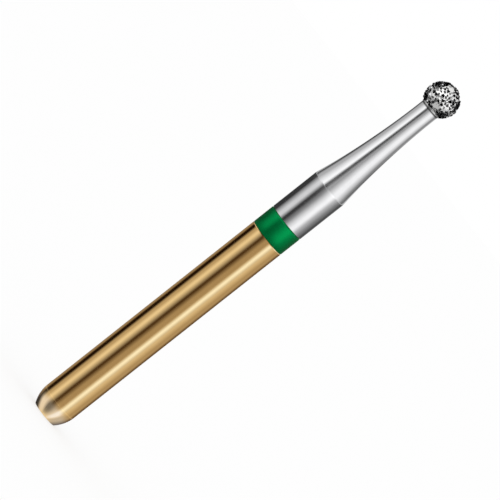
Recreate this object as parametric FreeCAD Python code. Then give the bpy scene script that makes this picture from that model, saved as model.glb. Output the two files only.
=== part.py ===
import FreeCAD, Part
import math
import os
import random
from FreeCAD import Rotation, Vector

# A coarse round diamond bur with a friction-grip shank, in millimetres. The origin is the centre of
# the flat on the shank's free end, and +Z runs up the axis to the head.
# One steel blank is turned from bar: grip, groove, collar, neck and the ball inside the head. The grip
# is plated, the groove holds a ring of enamel, and nickel plated on the ball holds diamond crystals.

# Shank: the standard friction-grip size, over its plating
SHANK_D = 1.60
GRIP_L = 10.65
PLATING_T = 0.02

# Rounded free end: a flat, then an arc that meets the cylinder at a faint corner
END_FLAT_D = 1.10
END_ROUND_L = 0.70
END_CORNER_DEG = 4.3

# Colour band in its groove, flush with the shank
BAND_W = 0.91
BAND_DEPTH = 0.08
BAND_BEVEL = 0.03
SHOULDER_BEVEL = 0.03

# Plain collar above the band, and the softened corner where the neck starts
COLLAR_L = 2.05
COLLAR_EDGE_R = 0.30

# Neck: a long hollow curve that ends as a short straight run
TAPER_L = 4.68
NECK_D = 0.85
NECK_STRAIGHT_L = 0.15

# Head, measured over its crystals. They stand proud of the nickel, which also lies under the
# deepest of them and runs a little way down the neck as a lip.
HEAD_D = 1.43
CRYSTAL = 0.16
CRYSTAL_SPACING = 0.155
CRYSTAL_PROUD = 0.055
DEPTH_VARY = 0.015
NICKEL_BED = 0.010
LIP_T = 0.015
LIP_L = 0.06

# Crystals are cubes and octahedra of uneven size and stretch
OCTAHEDRON_SHARE = 0.5
SMALLEST_CRYSTAL = 0.86
FLATTEST_CRYSTAL = 0.75
CRYSTAL_SEED = 3

# Points of a spiral over a ball of radius 1 lie this far apart, divided by the root of their number
SPIRAL_SPACING = 3.09
GOLDEN_TURN = math.pi * (3 - math.sqrt(5))

shank_r = SHANK_D / 2
neck_r = NECK_D / 2
groove_r = shank_r - BAND_DEPTH
head_r = HEAD_D / 2
nickel_r = head_r - CRYSTAL_PROUD
core_r = head_r - CRYSTAL - DEPTH_VARY - NICKEL_BED

# Heights up the axis
band_z = GRIP_L
collar_z = band_z + BAND_W
neck_z = collar_z + COLLAR_L
straight_z = neck_z + TAPER_L
head_start_z = straight_z + NECK_STRAIGHT_L
head_z = head_start_z + math.sqrt(nickel_r**2 - neck_r**2)

AXIS = Vector(0, 0, 1)
HEAD_CENTRE = Vector(0, 0, head_z)


def at(radius, height):
    """A point of a half section."""
    return Vector(radius, 0, height)


def turned(start, steps):
    """A solid turned from a half section. A step is the next point, or an arc's middle and end."""
    edges = []
    here = start
    for step in steps:
        if isinstance(step, tuple):
            middle, end = step
            edges.append(Part.Arc(here, middle, end).toShape())
        else:
            end = step
            edges.append(Part.makeLine(here, end))
        here = end
    edges.append(Part.makeLine(here, start))
    section = Part.Face(Part.Wire(edges))
    return section.revolve(Vector(0, 0, 0), AXIS, 360)


def grip_steps(inset):
    """The grip's outline set in from its surface, from the end flat to the wall of the groove."""
    corner = math.radians(END_CORNER_DEG)
    chord_r = shank_r - END_FLAT_D / 2
    half_turn = math.atan2(chord_r, END_ROUND_L) - corner
    arc_r = math.hypot(chord_r, END_ROUND_L) / (2 * math.sin(half_turn))
    centre_r = shank_r - arc_r * math.cos(corner)
    centre_z = END_ROUND_L + arc_r * math.sin(corner)
    arc_r -= inset

    side_r = shank_r - inset
    flat_r = centre_r + math.sqrt(arc_r**2 - (centre_z - inset) ** 2)
    side_z = centre_z - math.sqrt(arc_r**2 - (side_r - centre_r) ** 2)
    angle = corner + half_turn
    middle = at(centre_r + arc_r * math.cos(angle), centre_z - arc_r * math.sin(angle))

    bevel_line = inset * math.sqrt(2)
    return [
        at(flat_r, inset),
        (middle, at(side_r, side_z)),
        at(side_r, GRIP_L - SHOULDER_BEVEL + inset - bevel_line),
        at(shank_r - SHOULDER_BEVEL - bevel_line, GRIP_L),
    ]


def steel_blank():
    """Turned steel: grip under its plating, groove, collar, neck and the ball inside the head."""
    drop = shank_r - neck_r
    taper_r = (TAPER_L**2 + drop**2) / (2 * drop)
    half_turn = math.asin(TAPER_L / taper_r) / 2
    taper_middle = at(
        neck_r + taper_r * (1 - math.cos(half_turn)),
        straight_z - taper_r * math.sin(half_turn),
    )
    steps = grip_steps(PLATING_T) + [
        at(groove_r, band_z),
        at(groove_r, collar_z),
        at(shank_r - SHOULDER_BEVEL, collar_z),
        at(shank_r, collar_z + SHOULDER_BEVEL),
        at(shank_r, neck_z),
        (taper_middle, at(neck_r, straight_z)),
        at(neck_r, head_z),
        at(0, head_z),
    ]
    blank = turned(at(0, PLATING_T), steps)
    corner = [e for e in blank.Edges if is_ring(e, neck_z)]
    blank = blank.makeFillet(COLLAR_EDGE_R, corner)
    core = Part.makeSphere(core_r, HEAD_CENTRE)
    return blank.fuse(core).removeSplitter()


def is_ring(edge, height):
    """Whether an edge runs round the axis at one height."""
    box = edge.BoundBox
    return math.isclose(box.ZMin, height, abs_tol=1e-6) and math.isclose(box.ZMax, height, abs_tol=1e-6)


def shank_plating(blank):
    """The skin over the grip and its end. It stops at the groove, over the bevel of the shoulder."""
    outside = turned(at(0, 0), grip_steps(0) + [at(0, GRIP_L)])
    return outside.cut(blank)


def color_band():
    """Ring of enamel that fills the groove flush with the shank, its two outer edges bevelled."""
    edge_r = shank_r - BAND_BEVEL
    return turned(
        at(groove_r, band_z),
        [
            at(edge_r, band_z),
            at(shank_r, band_z + BAND_BEVEL),
            at(shank_r, collar_z - BAND_BEVEL),
            at(edge_r, collar_z),
            at(groove_r, collar_z),
        ],
    )


def octahedron():
    """The eight faces of an octahedron whose corners are 1 from its centre."""
    signs = (1, -1)
    return [[(x, 0, 0), (0, y, 0), (0, 0, z)] for x in signs for y in signs for z in signs]


def cube():
    """The six faces of a cube whose corners are 1 from its centre."""
    half = 1 / math.sqrt(3)
    square = [(half, half), (-half, half), (-half, -half), (half, -half)]
    faces = []
    for side in (half, -half):
        faces.append([(side, u, v) for u, v in square])
        faces.append([(v, side, u) for u, v in square])
        faces.append([(u, v, side) for u, v in square])
    return faces


def crystal(direction, radius, dice):
    """One crystal, turned and stretched at random, with its tip near the head's outline."""
    form = octahedron() if dice.random() < OCTAHEDRON_SHARE else cube()
    stretch = [radius * dice.uniform(FLATTEST_CRYSTAL, 1) for _ in range(3)]
    turn = Rotation(*[dice.gauss(0, 1) for _ in range(4)])
    outlines = [[turn.multVec(Vector(*corner).scale(*stretch)) for corner in face] for face in form]
    tip = max(corner.dot(direction) for outline in outlines for corner in outline)
    centre = HEAD_CENTRE + direction * (head_r - tip - dice.uniform(0, DEPTH_VARY))
    faces = []
    for outline in outlines:
        corners = [centre + corner for corner in outline]
        faces.append(Part.Face(Part.makePolygon(corners + corners[:1])))
    solid = Part.Solid(Part.Shell(faces))
    if solid.Volume < 0:
        solid.reverse()
    return solid


def diamond_crystals():
    """Crystals set on a spiral over the ball, clear of each other and of the neck."""
    cell = CRYSTAL / 2
    seat_r = head_r - cell
    count = int((SPIRAL_SPACING * seat_r / CRYSTAL_SPACING) ** 2)
    clear_r = neck_r + LIP_T + cell
    dice = random.Random(CRYSTAL_SEED)
    crystals = []
    for i in range(count):
        up = 1 - (2 * i + 1) / count
        out = math.sqrt(1 - up**2)
        if up < 0 and out * seat_r < clear_r:
            continue
        around = i * GOLDEN_TURN
        direction = Vector(out * math.cos(around), out * math.sin(around), up)
        crystals.append(crystal(direction, cell * dice.uniform(SMALLEST_CRYSTAL, 1), dice))
    return crystals


def nickel_bond(blank, crystals):
    """Nickel plated on the ball, with a lip on the neck and a pocket round every crystal."""
    ball = Part.makeSphere(nickel_r, HEAD_CENTRE)
    lip_z = head_start_z - LIP_L
    lip = Part.makeCylinder(neck_r + LIP_T, head_z - lip_z, Vector(0, 0, lip_z))
    return ball.fuse(lip).cut([blank] + crystals)


def main():
    os.makedirs("parts", exist_ok=True)
    blank = steel_blank()
    crystals = diamond_crystals()
    nodes = {
        "steel_blank": blank,
        "shank_plating": shank_plating(blank),
        "color_band": color_band(),
        "nickel_bond": nickel_bond(blank, crystals),
        "diamond_crystals": Part.makeCompound(crystals),
    }
    for name, shape in nodes.items():
        shape.exportStep(f"parts/{name}.step")


main()
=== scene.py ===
import math
import random

import bmesh
import bpy
from mathutils import Matrix, Vector
from mathutils.kdtree import KDTree


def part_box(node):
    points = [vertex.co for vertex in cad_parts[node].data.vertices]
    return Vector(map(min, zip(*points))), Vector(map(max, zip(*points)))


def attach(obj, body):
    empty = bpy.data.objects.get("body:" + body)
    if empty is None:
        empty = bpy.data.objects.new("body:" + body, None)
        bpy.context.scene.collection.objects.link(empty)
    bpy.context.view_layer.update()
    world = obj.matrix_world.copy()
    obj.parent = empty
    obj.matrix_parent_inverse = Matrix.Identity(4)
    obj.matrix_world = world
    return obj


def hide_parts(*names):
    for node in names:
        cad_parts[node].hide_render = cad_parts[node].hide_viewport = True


# The looks of a coarse round diamond bur, piece by piece from the shank to the head. All is in metres,
# in the frame of the solids: the origin is the flat of the shank's free end, and +Z runs to the head.

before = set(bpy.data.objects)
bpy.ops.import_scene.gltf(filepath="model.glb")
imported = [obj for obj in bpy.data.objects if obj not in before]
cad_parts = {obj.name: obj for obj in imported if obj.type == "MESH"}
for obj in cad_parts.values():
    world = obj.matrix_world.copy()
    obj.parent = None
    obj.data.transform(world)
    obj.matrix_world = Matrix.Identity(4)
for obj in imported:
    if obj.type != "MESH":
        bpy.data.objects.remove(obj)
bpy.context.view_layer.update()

MM = 0.001

# Camera. The photograph looks almost square across the bur, with the head tipped a little towards it,
# and holds the bur aslant, its head up and to the right. A long lens keeps its sides parallel.

PICTURE_PX = 500
# Where the photograph shows the middles of the flat end and of the ball, in pixels
END_PX = Vector((44.7, 413.9))
BALL_PX = Vector((440.7, 100.7))
HEAD_TIP = math.radians(5.2)
CAMERA_AWAY = 0.3
NEAREST_SEEN = 0.03
# The lens and its sensor are in millimetres
SENSOR_WIDTH = 36

ball_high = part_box("nickel_bond")[1]
ball_r = ball_high.x
ball_centre = Vector((0, 0, ball_high.z - ball_r))

lean_px = BALL_PX - END_PX
px = ball_centre.z * math.cos(HEAD_TIP) / lean_px.length
roll = math.atan2(lean_px.x, -lean_px.y)
toward = Vector((0, -math.cos(HEAD_TIP), math.sin(HEAD_TIP)))
level_up = Vector((0, math.sin(HEAD_TIP), math.cos(HEAD_TIP)))
level_right = Vector((1, 0, 0))
right = level_right * math.cos(roll) + level_up * math.sin(roll)
up = level_up * math.cos(roll) - level_right * math.sin(roll)
aim = right * (PICTURE_PX / 2 - END_PX.x) * px + up * (END_PX.y - PICTURE_PX / 2) * px

lens = bpy.data.cameras.new("product_camera")
lens.sensor_width = SENSOR_WIDTH
lens.lens = SENSOR_WIDTH * CAMERA_AWAY / (PICTURE_PX * px)
lens.clip_start = NEAREST_SEEN
camera = bpy.data.objects.new("product_camera", lens)
facing = Matrix((right, up, toward)).transposed().to_4x4()
camera.matrix_world = Matrix.Translation(aim + toward * CAMERA_AWAY) @ facing
bpy.context.scene.collection.objects.link(camera)
bpy.context.scene.camera = camera
bpy.context.scene.view_settings.view_transform = "Standard"

# Studio. White all round, so that plain surfaces are lit evenly and the background is white.

STUDIO_LIGHT = 1.0


def node(tree, kind, inputs=None, **settings):
    """A new node with its settings and inputs. An input that is another node's socket is linked."""
    made = tree.nodes.new(kind)
    for name, value in settings.items():
        setattr(made, name, value)
    for key, value in (inputs or {}).items():
        if isinstance(value, bpy.types.NodeSocket):
            tree.links.new(value, made.inputs[key])
        else:
            made.inputs[key].default_value = value
    return made


world = bpy.data.worlds.new("studio")
world.use_nodes = True
bpy.context.scene.world = world
tree = world.node_tree
tree.nodes.clear()
white = node(tree, "ShaderNodeBackground", {"Color": (1, 1, 1, 1), "Strength": STUDIO_LIGHT})
node(tree, "ShaderNodeOutputWorld", {"Surface": white.outputs[0]})

# Light tent. Panels and flags stand in a ring round the bur, seen only in its polish, as lengthwise
# streaks. The collar, the neck and the head each face another height of the ring.

TENT_R = 25 * MM
TENT_LOW = -45 * MM
TENT_HIGH = 48 * MM
RING_SIDES = 96
# Points closer than this are one
SAME_POINT = 0.0001 * MM
# Brightest light, which all panels are shares of
BRIGHTEST = 2.0

# A panel runs from one direction to another in degrees round the bur, from the camera towards its right,
# and has a brightness. Light fades evenly from each panel to the next.
COLLAR_PANELS = [
    (-180, -172, 0.60), (-156, -107, 0.045), (-67, -53, 0.82), (-32, -22, 0.05), (0, 0, 0.33),
    (22, 22, 0.88), (40, 52, 1.20), (72, 72, 0.60), (98, 98, 0.29), (130, 142, 0.09), (158, 158, 0.15),
    (172, 180, 0.60),
]
NECK_PANELS = [
    (-180, -172, 0.60), (-156, -144, 0.06), (-118, -98, 0.55), (-50, -43, 1.27), (-29, -19, 0.09),
    (-6, 2, 0.43), (22, 22, 0.86), (42, 63, 1.18), (88, 88, 0.68), (104, 121, 0.31), (140, 180, 0.54),
]
FOOT_PANELS = [
    (-180, -170, 0.50), (-150, -104, 0.01), (-84, -54, 0.50), (-34, -16, 0.03), (4, 48, 0.62),
    (66, 150, 0.01), (170, 180, 0.50),
]
HEAD_PANELS = [
    (-180, -142, 0.01), (-118, -52, 1.45), (-34, -16, 0.04), (4, 48, 1.35), (66, 180, 0.01),
]
TOP_PANELS = [
    (-180, -162, 0.01), (-134, -50, 1.45), (-34, 36, 0.03), (60, 92, 0.85), (110, 180, 0.25),
]
# Heights where one ring of panels gives way to the next, from the dim foot of the tent to its open top
FOOT_TO_COLLAR = (3.0 * MM, 7.5 * MM)
COLLAR_TO_NECK = (14.7 * MM, 16.2 * MM)
NECK_TO_HEAD = (20.0 * MM, 21.5 * MM)
HEAD_TO_TOP = (29.0 * MM, 36.0 * MM)
# The neck's panels lean by so many degrees from one height to another, so that its dark streak bows
NECK_LEAN = 7
LEAN_FROM = 16.2 * MM
LEAN_TO = 18.0 * MM
# The head's and the foot's panels lean by so many degrees with every metre, from this height up and down
HEAD_LEAN = 1500
UPRIGHT_AT = -5.0 * MM
# A lit slot between two rings shows as a glint along the collar's corner
TENT_SLOT = (12.6 * MM, 14.4 * MM)
TENT_SLOT_EDGE = 0.5 * MM
TENT_SLOT_LIGHT = 0.45


def maths(tree, operation, *values):
    """The result of one arithmetic step."""
    return node(tree, "ShaderNodeMath", dict(enumerate(values)), operation=operation).outputs[0]


def blend(tree, share, first, second, how="MIX"):
    """A colour that runs from the first, at a share of 0, to the second, or to both added or multiplied."""
    made = node(tree, "ShaderNodeMix", {0: share}, data_type="RGBA", blend_type=how)
    for socket, colour in zip([s for s in made.inputs if s.type == "RGBA"], (first, second)):
        if isinstance(colour, bpy.types.NodeSocket):
            tree.links.new(colour, socket)
        else:
            socket.default_value = (*colour, 1)
    return next(s for s in made.outputs if s.type == "RGBA")


def ease(tree, value, start, full):
    """A smooth change from 0 at start to 1 at full, whichever of the two is the higher."""
    limits = {"Value": value, "From Min": min(start, full), "From Max": max(start, full)}
    rise = node(tree, "ShaderNodeMapRange", limits, interpolation_type="SMOOTHSTEP").outputs[0]
    return rise if start < full else maths(tree, "SUBTRACT", 1.0, rise)


def between(tree, value, low, high, edge):
    """1 from low to high and 0 beyond, with soft edges."""
    opened = ease(tree, value, low - edge, low + edge)
    closed = ease(tree, value, high - edge, high + edge)
    return maths(tree, "SUBTRACT", opened, closed)


def grey(level):
    """A plain level of light as a share of the brightest."""
    return (level / BRIGHTEST,) * 3


def turn_of(degrees):
    """The place round a ring, from 0 to 1, of a direction in degrees from the camera."""
    return (degrees + 180) / 360


def panel_light(tree, turn, panels, warmth=(1, 1, 1)):
    """The colour of a ring of panels at a place round it, as a share of the brightest."""
    made = node(tree, "ShaderNodeValToRGB", {"Fac": turn})
    stops = [(edge, level) for start, end, level in panels for edge in sorted({start, end})]
    elements = made.color_ramp.elements
    for _ in stops[2:]:
        elements.new(0.5)
    for element, (degrees, level) in zip(elements, stops):
        element.position = turn_of(degrees)
        element.color = [level**power / BRIGHTEST for power in warmth] + [1]
    return made.outputs["Color"]


def finished(name, form):
    """An object made from a mesh under construction."""
    mesh = bpy.data.meshes.new(name)
    form.to_mesh(mesh)
    form.free()
    piece = bpy.data.objects.new(name, mesh)
    bpy.context.scene.collection.objects.link(piece)
    return piece


def new_material(name):
    """An empty material and its node tree."""
    material = bpy.data.materials.new(name)
    material.use_nodes = True
    material.node_tree.nodes.clear()
    return material, material.node_tree


def spun(outline, sides):
    """A mesh under construction, turned about the bur's axis from (radius, height) points."""
    form = bmesh.new()
    points = [form.verts.new((radius, 0, height)) for radius, height in outline]
    lines = [form.edges.new(pair) for pair in zip(points, points[1:])]
    bmesh.ops.spin(
        form, geom=points + lines, cent=(0, 0, 0), axis=(0, 0, 1),
        angle=2 * math.pi, steps=sides, use_merge=True,
    )
    bmesh.ops.remove_doubles(form, verts=form.verts, dist=SAME_POINT)
    bmesh.ops.recalc_face_normals(form, faces=form.faces)
    return form


def ring_of_panels(name, outline):
    """A ring that only polish sees. Gives its material's tree, the place round it and the height."""
    ring = finished(name, spun(outline, RING_SIDES))
    for kind in ("camera", "diffuse", "shadow", "volume_scatter"):
        setattr(ring, f"visible_{kind}", False)
    cloth, tree = new_material(name + "_cloth")
    cloth.cycles.emission_sampling = "NONE"
    ring.data.materials.append(cloth)
    place = node(tree, "ShaderNodeSeparateXYZ", {0: node(tree, "ShaderNodeTexCoord").outputs["Object"]})
    behind = maths(tree, "MULTIPLY", place.outputs["Y"], -1.0)
    around = maths(tree, "ARCTAN2", place.outputs["X"], behind)
    turn = maths(tree, "MULTIPLY_ADD", around, 0.5 / math.pi, 0.5)
    return tree, turn, place.outputs["Z"]


def shine(tree, lit):
    """Lights a ring with a colour that is a share of the brightest."""
    glow = node(tree, "ShaderNodeEmission", {"Color": lit, "Strength": BRIGHTEST})
    node(tree, "ShaderNodeOutputMaterial", {"Surface": glow.outputs[0]})


tree, turn, height = ring_of_panels("light_tent", [(TENT_R, TENT_LOW), (TENT_R, TENT_HIGH)])
neck_lean = maths(tree, "MULTIPLY", ease(tree, height, LEAN_TO, LEAN_FROM), -NECK_LEAN / 360)
neck_light = panel_light(tree, maths(tree, "ADD", turn, neck_lean), NECK_PANELS)
collar_light = panel_light(tree, turn, COLLAR_PANELS)
lit = blend(tree, ease(tree, height, *COLLAR_TO_NECK), collar_light, neck_light)
head_lean = maths(tree, "MULTIPLY_ADD", height, -HEAD_LEAN / 360, HEAD_LEAN * UPRIGHT_AT / 360)
head_turn = maths(tree, "ADD", turn, head_lean)
head_light = panel_light(tree, head_turn, HEAD_PANELS)
top_light = panel_light(tree, head_turn, TOP_PANELS)
lit = blend(tree, ease(tree, height, *NECK_TO_HEAD), lit, head_light)
lit = blend(tree, ease(tree, height, *HEAD_TO_TOP), lit, top_light)
foot_light = panel_light(tree, head_turn, FOOT_PANELS)
lit = blend(tree, ease(tree, height, *FOOT_TO_COLLAR), foot_light, lit)
slot = between(tree, height, *TENT_SLOT, TENT_SLOT_EDGE)
shine(tree, blend(tree, slot, lit, grey(TENT_SLOT_LIGHT), "ADD"))

# Closed sleeve of light round the grip, seen only in its polish. Its panels are warmer where they are
# dimmer, but for one strip of cool daylight. Below the shank's corner it turns cool and then pale.

SLEEVE_R = 3 * MM
SLEEVE_LOW = -12 * MM
SLEEVE_HIGH = 10.45 * MM
# Its lid is a flat cone with its peak inside the bur, and crosses the surface just where the plating ends
SLEEVE_PEAK = 10.723 * MM
GRIP_PANELS = [
    (-165, -120, 0.36), (-106, -88, 0.015), (-74, -66, 0.60), (-51, -46, 0.98), (-19, -13, 0.08),
    (7, 24, 0.46), (40, 44, 1.20), (56, 65, 0.80), (90, 108, 0.50), (127, 165, 0.17),
]
# The rounded end faces the foot of the sleeve, where the streaks are wider and paler
END_PANELS = [
    (-180, -110, 0.05), (-97, -97, 0.36), (-80, -54, 0.97), (-43, -43, 0.68), (-30, -12, 0.22),
    (0, 0, 0.32), (24, 24, 0.80), (40, 54, 1.12), (72, 92, 0.64), (117, 117, 0.36), (140, 180, 0.18),
]
GRIP_TO_END = (0.45 * MM, -1.2 * MM)
# Powers that the levels of red, green and blue are raised to
GRIP_WARMTH = (1.0, 1.2, 1.5)
# The strip of daylight fades in over the first two directions and out over the last two
DAYLIGHT = (1.0, 1.13, 1.4)
DAYLIGHT_FROM = (27, 37)
DAYLIGHT_TO = (51, 66)
# A lit slot in it shows as a glint along the corner of the rounded end
SLEEVE_SLOT = (0.24 * MM, 0.40 * MM)
SLEEVE_SLOT_EDGE = 0.06 * MM
SLEEVE_SLOT_LIGHT = 0.18
# Heights over which the light cools, and then gives way to the pale light of the table
COOL = (1.0, 1.1, 1.55)
COOL_FROM = 0.2 * MM
COOL_TO = -0.9 * MM
TABLE_LIGHT = (0.95, 0.98, 1.1)
TABLE_FROM = -1.5 * MM
TABLE_TO = -9 * MM
# The head faces only the outside of the sleeve, which is dark
OUTSIDE_LIGHT = 0.12

tree, turn, height = ring_of_panels(
    "grip_sleeve", [(0, SLEEVE_LOW), (SLEEVE_R, SLEEVE_LOW), (SLEEVE_R, SLEEVE_HIGH), (0, SLEEVE_PEAK)]
)
daylight_on = ease(tree, turn, *map(turn_of, DAYLIGHT_FROM))
daylight = maths(tree, "SUBTRACT", daylight_on, ease(tree, turn, *map(turn_of, DAYLIGHT_TO)))
lit = panel_light(tree, turn, GRIP_PANELS, GRIP_WARMTH)
lit = blend(tree, ease(tree, height, *GRIP_TO_END), lit, panel_light(tree, turn, END_PANELS))
lit = blend(tree, daylight, lit, DAYLIGHT, "MULTIPLY")
lit = blend(tree, ease(tree, height, COOL_FROM, COOL_TO), lit, COOL, "MULTIPLY")
table = [level / BRIGHTEST for level in TABLE_LIGHT]
lit = blend(tree, ease(tree, height, TABLE_FROM, TABLE_TO), lit, table)
slot = between(tree, height, *SLEEVE_SLOT, SLEEVE_SLOT_EDGE)
lit = blend(tree, slot, lit, grey(SLEEVE_SLOT_LIGHT), "ADD")
inside = node(tree, "ShaderNodeNewGeometry").outputs["Backfacing"]
shine(tree, blend(tree, inside, grey(OUTSIDE_LIGHT), lit))

# Floor, a pale sheet under the shank's end. Part of its white is its own, so the shadow stays faint.

FLOOR_HALF = 0.25
# It lies a hair below the flat end, so that the two don't share one plane
FLOOR_GAP = 0.01 * MM
FLOOR_COLOR = 0.30
FLOOR_WHITE = 0.69

sheet = bmesh.new()
bmesh.ops.create_grid(sheet, x_segments=1, y_segments=1, size=FLOOR_HALF)
floor = finished("floor", sheet)
floor.data.transform(Matrix.Translation((0, 0, -FLOOR_GAP)))
floor.visible_glossy = False

paper, tree = new_material("floor_paper")
shade = node(tree, "ShaderNodeBsdfDiffuse", {"Color": (FLOOR_COLOR,) * 3 + (1,)})
glow = node(tree, "ShaderNodeEmission", {"Strength": FLOOR_WHITE})
both = node(tree, "ShaderNodeAddShader", {0: shade.outputs[0], 1: glow.outputs[0]})
node(tree, "ShaderNodeOutputMaterial", {"Surface": both.outputs[0]})
floor.data.materials.append(paper)

# Steel blank. One rod of stainless steel, turned and polished: collar, waisted neck and the ball that
# the head is built on. Its grip and groove lie under the plating and the band.

PLATING_T = 0.02 * MM
GROOVE_DEPTH = 0.08 * MM
SHOULDER_BEVEL = 0.03 * MM
COLLAR_L = 2.05 * MM
COLLAR_EDGE_R = 0.30 * MM
TAPER_L = 4.68 * MM
NECK_R = 0.425 * MM
BALL_CORE_R = 0.53 * MM
# Under the plating the blank's end is only a flat and a plain cone
HIDDEN_FLAT_R = 0.5 * MM
HIDDEN_CONE_L = 1.0 * MM
STEEL_COLOR = (0.79, 0.79, 0.80)
STEEL_SHADE = (0.70, 0.70, 0.71)
STEEL_ROUGHNESS = 0.11
STEEL_RINGS = 45000
STEEL_PATCHES = 2500
# How far a turned surface's roughness varies from patch to patch, and how deep and strong its rings are
ROUGHNESS_VARY = 0.06
RING_DEPTH = 0.001 * MM
RING_STRENGTH = 0.10
# A dark line of painted shade runs round the neck where the nickel's lip ends
LIP_L = 0.06 * MM
LIP_SHADOW_W = 0.06 * MM
LIP_SHADOW_COLOR = (0.07, 0.07, 0.07)
ROUND_SIDES = 256
EDGE_STEPS = 4
# One more ring, so many corner lengths before the collar's softened corner, keeps its shading straight
STRAIGHT_RUNS = 20
TAPER_STEPS = 40
CORE_STEPS = 24
SHARP_EDGE = math.radians(24)

grip_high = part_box("shank_plating")[1]
band_low, band_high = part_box("color_band")
shank_r = grip_high.x
groove_r = shank_r - GROOVE_DEPTH


def arc(centre, radius, start, end, steps):
    """Points of an arc in a half section, from one angle to the other, 0 pointing away from the axis."""
    turn = (end - start) / steps
    angles = [start + turn * i for i in range(steps + 1)]
    return [(centre[0] + radius * math.cos(a), centre[1] + radius * math.sin(a)) for a in angles]


def lathe(name, outline):
    """A turned piece from (radius, height) points, smooth between its sharp edges."""
    form = spun(outline, ROUND_SIDES)
    for face in form.faces:
        face.smooth = True
    for edge in form.edges:
        edge.smooth = len(edge.link_faces) != 2 or edge.calc_face_angle() < SHARP_EDGE
    return finished(name, form)


def dress(piece, material, solid):
    """Gives a piece its material, hangs it on the root body and hides the solid that it stands for."""
    piece.data.materials.append(material)
    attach(piece, "root")
    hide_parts(solid)


def surface(tree, inputs):
    """The material's own shader, wired to its output."""
    shader = node(tree, "ShaderNodeBsdfPrincipled", inputs)
    node(tree, "ShaderNodeOutputMaterial", {"Surface": shader.outputs[0]})


def noise(tree, spot, scale, detail):
    """A smooth random tone from 0 to 1 over a surface."""
    made = node(tree, "ShaderNodeTexNoise", {"Vector": spot, "Scale": scale, "Detail": detail})
    return made.outputs[0]


def bump(tree, height, strength, depth):
    """A surface direction that follows a height from 0 to 1."""
    made = node(tree, "ShaderNodeBump", {"Strength": strength, "Distance": depth, "Height": height})
    return made.outputs[0]


def new_group(name, inputs, outputs):
    """A shader node group with number inputs and outputs, and its input and output nodes."""
    group = bpy.data.node_groups.new(name, "ShaderNodeTree")
    for label in inputs:
        group.interface.new_socket(label, in_out="INPUT", socket_type="NodeSocketFloat")
    for label in outputs:
        group.interface.new_socket(label, in_out="OUTPUT", socket_type="NodeSocketFloat")
    return group, group.nodes.new("NodeGroupInput"), group.nodes.new("NodeGroupOutput")


def grouped(tree, group, inputs):
    """A node group placed in a material with its own values."""
    placed = tree.nodes.new("ShaderNodeGroup")
    placed.node_tree = group
    for label, value in inputs.items():
        placed.inputs[label].default_value = value
    return placed


def patchy(tree, marks, roughness):
    """A roughness that varies from patch to patch round its middle value."""
    least = roughness - ROUGHNESS_VARY / 2
    return maths(tree, "MULTIPLY_ADD", marks.outputs["Patches"], ROUGHNESS_VARY, least)


# Fine rings that the turning tool leaves round the axis, and the soft patches that polishing leaves
turning_marks, given, result = new_group(
    "turning marks", ["Rings per Metre", "Patches per Metre"], ["Rings", "Patches"]
)
along = given.outputs["Rings per Metre"]
across = given.outputs["Patches per Metre"]
spot = node(turning_marks, "ShaderNodeTexCoord").outputs["Object"]
scales = node(turning_marks, "ShaderNodeCombineXYZ", {"X": across, "Y": across, "Z": along}).outputs[0]
flattened = node(turning_marks, "ShaderNodeVectorMath", {0: spot, 1: scales}, operation="MULTIPLY")
scaled = node(turning_marks, "ShaderNodeVectorMath", {0: spot, "Scale": across}, operation="SCALE")
rings = noise(turning_marks, flattened.outputs[0], 1.0, 3.0)
patches = noise(turning_marks, scaled.outputs[0], 1.0, 4.0)
turning_marks.links.new(rings, result.inputs["Rings"])
turning_marks.links.new(patches, result.inputs["Patches"])

collar_z = band_high.z
neck_z = collar_z + COLLAR_L
head_start_z = ball_centre.z - math.sqrt(ball_r**2 - NECK_R**2)
lip_z = head_start_z - LIP_L
straight_z = neck_z + TAPER_L
drop = shank_r - NECK_R
taper_r = (TAPER_L**2 + drop**2) / (2 * drop)
taper_turn = math.asin(TAPER_L / taper_r)
edge_run = COLLAR_EDGE_R * math.tan(taper_turn / 2)
taper_centre = (NECK_R + taper_r, straight_z)
taper_start = math.pi + taper_turn - edge_run / taper_r
last_straight_z = neck_z - STRAIGHT_RUNS * edge_run

blank = lathe(
    "turned_blank",
    [(0, PLATING_T), (HIDDEN_FLAT_R, PLATING_T), (shank_r - PLATING_T, HIDDEN_CONE_L)]
    + [(shank_r - PLATING_T, grip_high.z - PLATING_T - SHOULDER_BEVEL), (groove_r, grip_high.z)]
    + [(groove_r, collar_z), (shank_r - SHOULDER_BEVEL, collar_z)]
    + [(shank_r, collar_z + SHOULDER_BEVEL), (shank_r, last_straight_z)]
    + arc((shank_r - COLLAR_EDGE_R, neck_z - edge_run), COLLAR_EDGE_R, 0, taper_turn, EDGE_STEPS)
    + arc(taper_centre, taper_r, taper_start, math.pi, TAPER_STEPS)
    + [(NECK_R, ball_centre.z - math.sqrt(BALL_CORE_R**2 - NECK_R**2))]
    + arc((0, ball_centre.z), BALL_CORE_R, -math.acos(NECK_R / BALL_CORE_R), math.pi / 2, CORE_STEPS),
)

steel, tree = new_material("polished_steel")
marks = grouped(
    tree, turning_marks, {"Rings per Metre": STEEL_RINGS, "Patches per Metre": STEEL_PATCHES}
)
steel_tone = blend(tree, marks.outputs["Patches"], STEEL_SHADE, STEEL_COLOR)
place = node(tree, "ShaderNodeSeparateXYZ", {0: node(tree, "ShaderNodeTexCoord").outputs["Object"]})
# Painted shade: the steel turns nearly black from just under the nickel's lip upwards
lip_shadow_mask = ease(tree, place.outputs["Z"], lip_z - LIP_SHADOW_W, lip_z)
surface(tree, {
    "Base Color": blend(tree, lip_shadow_mask, steel_tone, LIP_SHADOW_COLOR),
    "Metallic": 1.0,
    "Roughness": patchy(tree, marks, STEEL_ROUGHNESS),
    "Normal": bump(tree, marks.outputs["Rings"], RING_STRENGTH, RING_DEPTH),
})
dress(blank, steel, "steel_blank")

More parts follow.
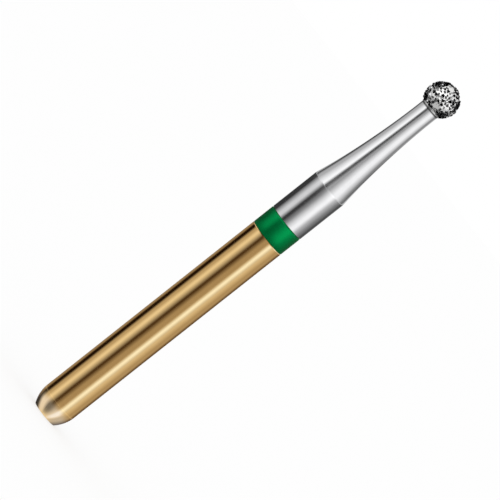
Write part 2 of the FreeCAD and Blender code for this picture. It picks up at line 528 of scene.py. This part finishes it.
# Plating of the grip. A gold-coloured skin over the rounded end and the cylinder that the chuck holds,
# laid on the steel in a bath, so it follows the turned surface. It ends in a bevel at the groove.

END_FLAT_R = 0.55 * MM
END_ROUND_L = 0.70 * MM
END_CORNER = math.radians(4.3)
END_STEPS = 24
# The flat and the cylinder each have one more ring this close to the rounded end
END_RING_GAP = 0.03 * MM
# Behind the band the plating stops this far short of the groove's floor
GROOVE_GAP = PLATING_T / 4
GOLD_COLOR = (0.88, 0.62, 0.29)
GOLD_SHADE = (0.80, 0.55, 0.24)
GOLD_ROUGHNESS = 0.13
GOLD_RINGS = 38000
GOLD_PATCHES = 1800

chord_r = shank_r - END_FLAT_R
half_turn = math.atan2(chord_r, END_ROUND_L) - END_CORNER
end_arc_r = math.hypot(chord_r, END_ROUND_L) / (2 * math.sin(half_turn))
end_centre = (shank_r - end_arc_r * math.cos(END_CORNER), END_ROUND_L + end_arc_r * math.sin(END_CORNER))
grip_end = grip_high.z

plating = lathe(
    "grip_plating",
    [(0, 0), (END_FLAT_R - END_RING_GAP, 0)]
    + arc(end_centre, end_arc_r, -END_CORNER - 2 * half_turn, -END_CORNER, END_STEPS)
    + [(shank_r, END_ROUND_L + END_RING_GAP), (shank_r, grip_end - SHOULDER_BEVEL)]
    + [(shank_r - SHOULDER_BEVEL, grip_end), (groove_r + GROOVE_GAP, grip_end)],
)

gold, tree = new_material("gold_plating")
marks = grouped(
    tree, turning_marks, {"Rings per Metre": GOLD_RINGS, "Patches per Metre": GOLD_PATCHES}
)
surface(tree, {
    "Base Color": blend(tree, marks.outputs["Patches"], GOLD_SHADE, GOLD_COLOR),
    "Metallic": 1.0,
    "Roughness": patchy(tree, marks, GOLD_ROUGHNESS),
    "Normal": bump(tree, marks.outputs["Rings"], RING_STRENGTH, RING_DEPTH),
})
dress(plating, gold, "shank_plating")

# Colour band. A ring of green enamel, rolled into the groove and baked, then ground flush with the
# shank. Its two edges are rounded, and a fine line parts them from the metal.

BAND_EDGE_R = 0.03 * MM
BAND_STEPS = 6
ENAMEL_COLOR = (0.0005, 0.282, 0.072)
ENAMEL_SHADE = (0.0005, 0.248, 0.061)
ENAMEL_PATCHES = 6000
ENAMEL_RIPPLE = 0.003 * MM

band_edge = shank_r - BAND_EDGE_R
band = lathe(
    "green_band",
    [(groove_r, band_low.z), (band_edge, band_low.z)]
    + arc((band_edge, band_low.z + BAND_EDGE_R), BAND_EDGE_R, -math.pi / 2, 0, BAND_STEPS)
    + arc((band_edge, band_high.z - BAND_EDGE_R), BAND_EDGE_R, 0, math.pi / 2, BAND_STEPS)
    + [(groove_r, band_high.z)],
)

enamel, tree = new_material("green_enamel")
patches = grouped(tree, turning_marks, {"Patches per Metre": ENAMEL_PATCHES}).outputs["Patches"]
surface(tree, {
    "Base Color": blend(tree, patches, ENAMEL_SHADE, ENAMEL_COLOR),
    "Metallic": 0.77,
    "Roughness": 0.26,
    "Specular IOR Level": 0.05,
    "Normal": bump(tree, patches, 0.15, ENAMEL_RIPPLE),
})
dress(band, enamel, "color_band")

# Diamond crystals. Small stones of cube and octahedron form, no two alike, strewn over the ball and held
# there while nickel grows round them. They stand a third to a half clear of it, small ones between large.

LARGEST_STONE = 0.215 * MM
SMALLEST_STONE = 0.100 * MM
TIP_R = 0.718 * MM
UNEVEN = 0.022 * MM
# Shares of the stones: octahedra come below the first of these, cubes between the two, mixed forms above
OCTAHEDRA_TO = 0.3
CUBES_TO = 0.65
FLATTEST_STONE = 0.75
# How near two stones may come, as a share of their reaches together. They lie closest on the left of the
# photograph, towards -X, and farthest apart on its right.
CLOSEST = 0.58
FARTHEST = 0.66
ATTEMPTS = 9000
LIP_T = 0.022 * MM
# Spots that took little grit: degrees round from the camera, height and reach on a ball of radius 1
BARE_SPOTS = (
    (9, -0.47, 0.26), (-4, -0.30, 0.16), (-12, 0.08, 0.16),
    (9, 0.22, 0.14), (-23, 0.86, 0.26), (64, 0.90, 0.2),
)
CRYSTAL_SEED = 14
# A face is dark or clear by its tone, two thirds of which is its stone's own
STONE_DARK = (0.012, 0.012, 0.013)
STONE_CLEAR = (0.92, 0.92, 0.93)
CLEAR_FROM = 0.66
CLEAR_TO = 0.80

dice = random.Random(CRYSTAL_SEED)
lip_r = NECK_R + LIP_T


def ball_direction(around, height):
    """The direction from the ball's centre at an angle round the bur and a height from -1 to 1."""
    out = math.sqrt(1 - height**2)
    return Vector((out * math.sin(around), -out * math.cos(around), height))


def crystal_corners():
    """Corners of an octahedron, a cube or a form between them, none farther than 1 from its centre."""
    kind = dice.random()
    signs = (-1, 1)
    if kind < OCTAHEDRA_TO:
        corners = [Vector(axis) * s for axis in ((1, 0, 0), (0, 1, 0), (0, 0, 1)) for s in signs]
    elif kind < CUBES_TO:
        corners = [Vector((x, y, z)).normalized() for x in signs for y in signs for z in signs]
    else:
        corners = [
            Vector(c).normalized()
            for a in signs for b in signs
            for c in ((a, b, 0), (a, 0, b), (0, a, b))
        ]
    stretch = [dice.uniform(FLATTEST_STONE, 1) for _ in range(3)]
    axis = Vector([dice.gauss(0, 1) for _ in range(3)]).normalized()
    turn = Matrix.Rotation(dice.uniform(0, math.tau), 3, axis)
    return [turn @ Vector(a * b for a, b in zip(corner, stretch)) for corner in corners]


bare = [(ball_direction(math.radians(degrees), height), reach) for degrees, height, reach in BARE_SPOTS]
grit = bmesh.new()
tone = grit.faces.layers.float.new("stone")
seats = []
for attempt in range(ATTEMPTS):
    direction = ball_direction(dice.uniform(0, math.tau), dice.uniform(-1, 1))
    size = LARGEST_STONE + (SMALLEST_STONE - LARGEST_STONE) * attempt / ATTEMPTS
    reach = size / 2
    corners = [corner * reach for corner in crystal_corners()]
    tip = max(corner.dot(direction) for corner in corners)
    centre = ball_centre + direction * (TIP_R - tip - dice.uniform(0, UNEVEN))
    # Stones keep off the neck and its lip, off each other and off the bare spots
    on_neck = direction.z < 0 and math.hypot(centre.x, centre.y) < lip_r + tip / 2
    apart = CLOSEST + (FARTHEST - CLOSEST) * (1 + direction.x) / 2
    crowded = any((centre - other).length < apart * (reach + its_reach) for other, its_reach in seats)
    if on_neck or crowded or any((direction - spot).length < room for spot, room in bare):
        continue
    seats.append((centre, reach))
    hull = bmesh.ops.convex_hull(grit, input=[grit.verts.new(centre + corner) for corner in corners])
    stone = dice.random()
    for item in hull["geom"]:
        if isinstance(item, bmesh.types.BMFace):
            item[tone] = (2 * stone + dice.random()) / 3
crystals = finished("diamond_grit", grit)

diamond, tree = new_material("diamond_crystals")
stone = node(tree, "ShaderNodeAttribute", attribute_name="stone").outputs["Fac"]
surface(tree, {
    "Base Color": blend(tree, ease(tree, stone, CLEAR_FROM, CLEAR_TO), STONE_DARK, STONE_CLEAR),
    "Metallic": 1.0,
    "Roughness": 0.06,
    "Specular Tint": (0.1, 0.1, 0.1, 1),
})
dress(crystals, diamond, "diamond_crystals")

# Nickel bond. Bright nickel plated over the ball and up round each crystal, so that it swells at every
# stone and sinks between them. It ends as a thin lip on the neck.

# The lip and the foot of the ball are painted dark grey, as painted shade where the ball meets the neck
LIP_PAINTED_SHADE = (0.22, 0.22, 0.22)
# Height of the swell at a stone, and how far it spreads as a share of the stone's reach
SWELL = 0.010 * MM
SWELL_REACH = 1.3
NICKEL_COLOR = (0.90, 0.90, 0.89)
NICKEL_SHADE = (0.70, 0.70, 0.69)
# The grain of the plated surface, its depth, the smoothest roughness and what the grain adds to it
NICKEL_PEBBLE = 7000
PEBBLE_DEPTH = 0.03 * MM
NICKEL_ROUGHNESS = 0.12
PEBBLE_ROUGHNESS = 0.1
LIP_STEPS = 4
BALL_STEPS = 110

lip_angle = -math.acos(lip_r / ball_r)
bond = lathe(
    "nickel_ball",
    [(NECK_R, lip_z)]
    + arc((lip_r - LIP_T, lip_z + LIP_T), LIP_T, -math.pi / 2, 0, LIP_STEPS)
    + arc((0, ball_centre.z), ball_r, lip_angle, math.pi / 2, BALL_STEPS),
)
nearest = KDTree(len(seats))
for i, (centre, _) in enumerate(seats):
    nearest.insert(centre, i)
nearest.balance()
for point in bond.data.vertices:
    _, i, away = nearest.find(point.co)
    rise = max(0, 1 - (away / (seats[i][1] * SWELL_REACH)) ** 2)
    point.co += (point.co - ball_centre).normalized() * SWELL * rise

nickel, tree = new_material("plated_nickel")
spot = node(tree, "ShaderNodeTexCoord").outputs["Object"]
pebbles = noise(tree, spot, NICKEL_PEBBLE, 2.0)
height = node(tree, "ShaderNodeSeparateXYZ", {0: spot}).outputs["Z"]
# The painted shade on the lip fades out just past the foot of the ball
on_ball = ease(tree, height, lip_z, head_start_z + LIP_L)
surface(tree, {
    "Base Color": blend(tree, on_ball, LIP_PAINTED_SHADE, blend(tree, pebbles, NICKEL_SHADE, NICKEL_COLOR)),
    "Metallic": 1.0,
    "Roughness": maths(tree, "MULTIPLY_ADD", pebbles, PEBBLE_ROUGHNESS, NICKEL_ROUGHNESS),
    "Normal": bump(tree, pebbles, 0.8, PEBBLE_DEPTH),
})
dress(bond, nickel, "nickel_bond")
